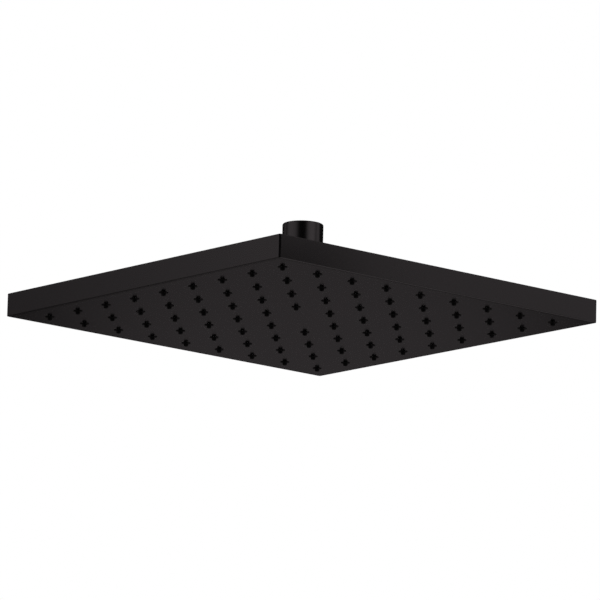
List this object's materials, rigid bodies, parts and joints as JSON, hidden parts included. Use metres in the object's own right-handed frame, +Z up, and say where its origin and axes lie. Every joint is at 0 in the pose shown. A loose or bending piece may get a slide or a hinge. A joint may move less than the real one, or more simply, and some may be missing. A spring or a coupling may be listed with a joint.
{
  "type": "square shower head",
  "caption": "Flat square overhead shower head in satin black with a field of soft nozzles, hung from a round female-threaded inlet by a ball swivel.",
  "frame": {"origin": "middle of the inlet's mouth, on its rim", "axes": "+Z up out of the inlet, X and Y square to the head's walls; the head hangs below"},
  "size_m": [0.25, 0.25, 0.0602],
  "materials": {
    "cover_black": "satin black",
    "face_black": "satin black",
    "fitting_black": "satin black",
    "nozzle_silicone": "soft black silicone",
    "chamber_plastic": "as moulded",
    "seat_plastic": "as moulded, off white",
    "seal_rubber": "smooth black rubber",
    "locknut_brass": "turned",
    "screw_steel": "plain"
  },
  "bodies": {
    "inlet": {"ball_inlet": "fitting_black", "inlet_washer": "seal_rubber", "filter_screen": "screw_steel", "flow_regulator": "seat_plastic", "regulator_ring": "seal_rubber"},
    "slip": {"slip_ring": "seat_plastic"},
    "seat": {"ball_seat": "seat_plastic", "ball_seal": "seal_rubber"},
    "head": {"top_cover": "cover_black", "face_plate": "face_black", "nozzle_mat": "nozzle_silicone", "chamber_plate": "chamber_plastic", "chamber_screws": "screw_steel", "swivel_socket": "fitting_black", "socket_locknut": "locknut_brass", "locknut_washer": "screw_steel", "chamber_seal": "seal_rubber", "socket_seal": "seal_rubber", "collar_nut": "fitting_black"}
  },
  "joints": [
    {"name": "tilt_front", "type": "hinge", "parent": "inlet", "child": "slip", "pos_m": [0, 0, -0.0346], "axis": [1, 0, 0], "range_deg": [-12, 12]},
    {"name": "tilt_side", "type": "hinge", "parent": "slip", "child": "seat", "pos_m": [0, 0, -0.0346], "axis": [0, 1, 0], "range_deg": [-12, 12]},
    {"name": "spin", "type": "hinge", "parent": "seat", "child": "head", "pos_m": [0, 0, -0.0346], "axis": [0, 0, 1], "continuous": true}
  ]
}
